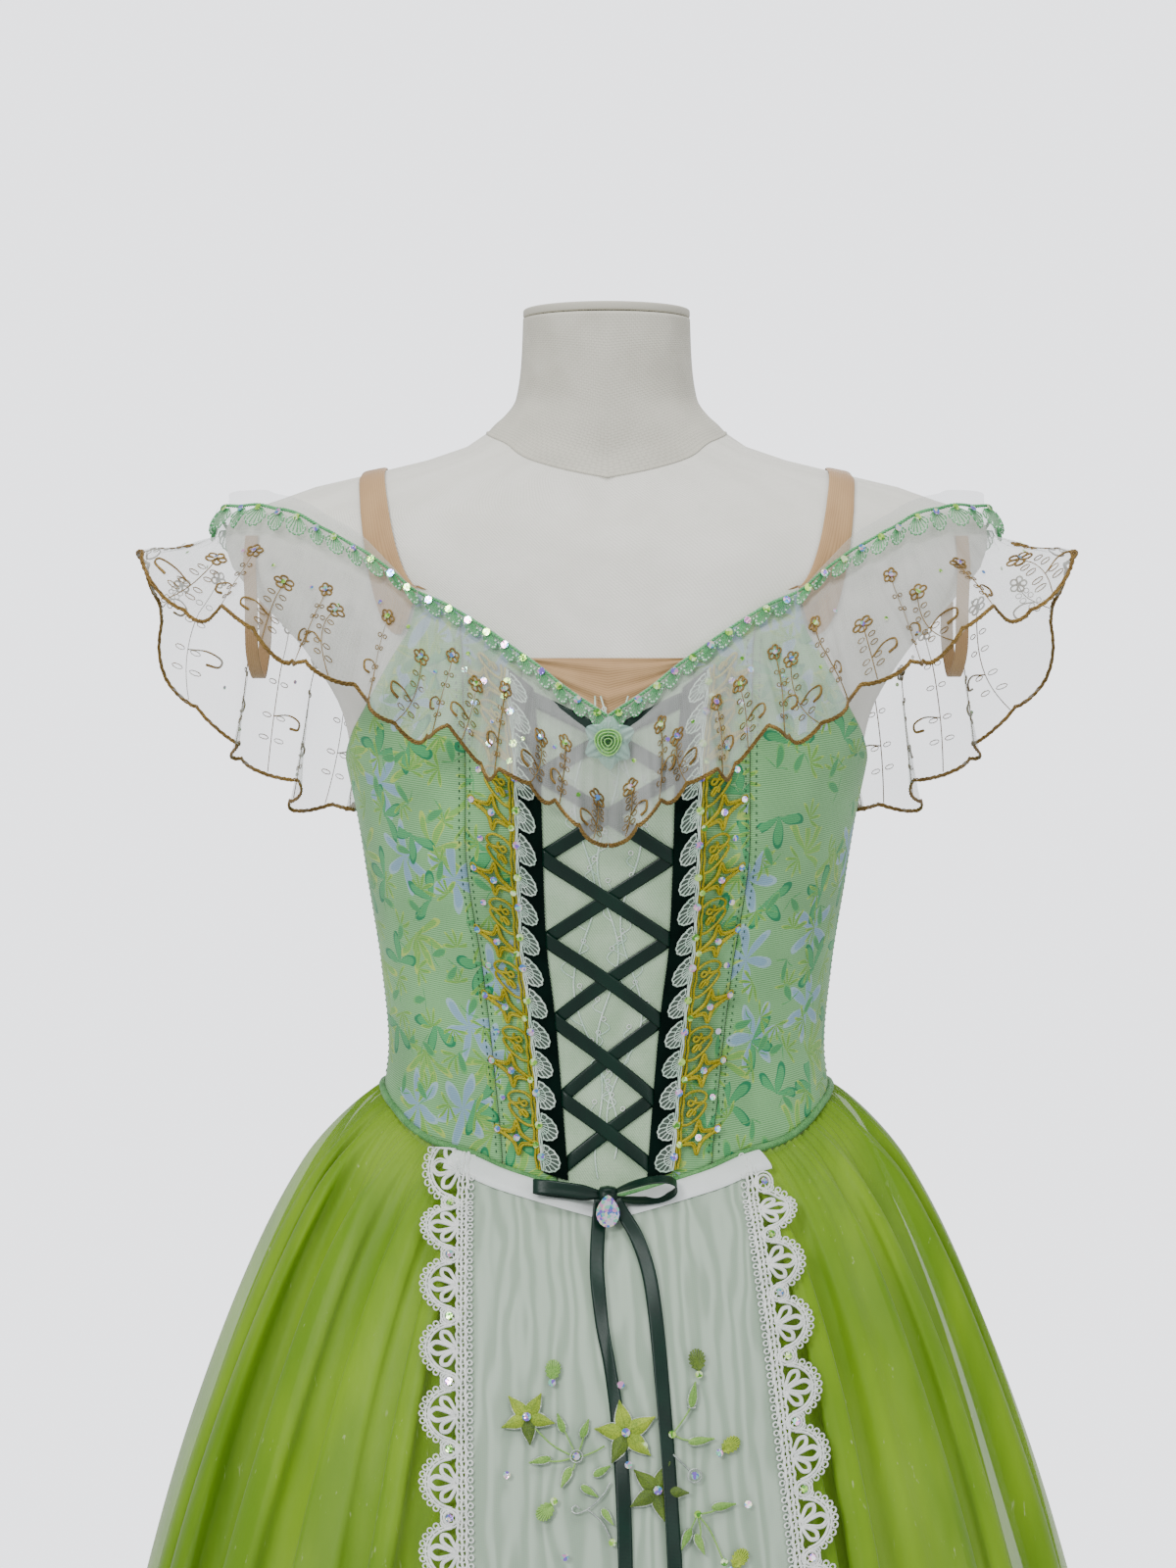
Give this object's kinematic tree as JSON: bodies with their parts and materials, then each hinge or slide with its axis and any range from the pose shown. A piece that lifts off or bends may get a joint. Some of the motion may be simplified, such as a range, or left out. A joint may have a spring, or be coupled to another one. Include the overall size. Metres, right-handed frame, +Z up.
{
  "type": "ballet dress on a limbless dress form with a round stand",
  "caption": "Pointed-basque ballet dress with tulle shoulder ruffle, laced front, organza apron and long gathered skirt, worn by a limbless dress form on a round stand.",
  "frame": {"origin": "centre of the stand's round base on the floor", "axes": "+Z up, the front of the dress faces -Y, +X is the right of someone who looks at the front"},
  "size_m": [0.7232, 0.6741, 1.4588],
  "materials": {
    "canvas": "off-white twill",
    "linen": "grey-beige linen",
    "stand_metal": "satin pale grey",
    "nude_stretch": "skin-tone stretch net",
    "brocade": "mint-green ribbed floral brocade",
    "mint_lace": "mint net with vine lace",
    "velvet": "very dark green velvet",
    "dark_satin": "dark green satin ribbon",
    "mint_trim": "mint lace with round stones",
    "picot_lace": "pale mint picot lace",
    "gold_lace": "metallic gold lace",
    "tulle": "pale dotted tulle with a gold edge",
    "chiffon": "sheer lime-green chiffon",
    "under_tulle": "deep lime net",
    "organza": "white moire organza over green",
    "white_satin": "white cotton lace and satin",
    "petal": "sheer pale organza",
    "rose_satin": "pale lime satin",
    "stitch": "lime stitched thread",
    "crystal": "iridescent cut stone"
  },
  "bodies": {
    "root": {"form_torso": "canvas", "form_neck": "linen", "neck_cap": "linen", "stand_base": "stand_metal", "stand_pole": "stand_metal", "front_centre_panel": "mint_lace", "front_panel_left": "brocade", "side_front_panel_left": "brocade", "side_back_panel_left": "brocade", "back_panel_left": "brocade", "front_panel_right": "brocade", "side_front_panel_right": "brocade", "side_back_panel_right": "brocade", "back_panel_right": "brocade", "back_placket": "brocade", "waist_binding": "brocade", "neck_band": "nude_stretch", "strap_left": "nude_stretch", "strap_right": "nude_stretch", "elastic_loop_left": "nude_stretch", "elastic_loop_right": "nude_stretch", "velvet_strip_left": "velvet", "velvet_strip_right": "velvet", "picot_lace_left": "picot_lace", "picot_lace_right": "picot_lace", "gold_lace_left": "gold_lace", "gold_lace_right": "gold_lace", "lacing_from_left": "dark_satin", "lacing_from_right": "dark_satin", "ruffle_front": "tulle", "ruffle_sleeve_left": "tulle", "ruffle_sleeve_right": "tulle", "ruffle_back_left": "tulle", "ruffle_back_right": "tulle", "neck_trim_front_left": "mint_trim", "neck_trim_front_right": "mint_trim", "neck_trim_sleeve_left": "mint_trim", "neck_trim_sleeve_right": "mint_trim", "neck_trim_back_left": "mint_trim", "neck_trim_back_right": "mint_trim", "skirt_overlay": "chiffon", "underskirt": "under_tulle", "apron_panel": "organza", "apron_band": "white_satin", "apron_lace": "white_satin", "applique_flower_1": "stitch", "applique_flower_2": "stitch", "applique_flower_3": "stitch", "bow_loop_left": "dark_satin", "bow_loop_right": "dark_satin", "bow_knot": "dark_satin", "bow_tail_left": "dark_satin", "bow_tail_right": "dark_satin", "bow_crystal": "crystal", "organza_petals": "petal", "satin_rose": "rose_satin"}
  },
  "joints": []
}
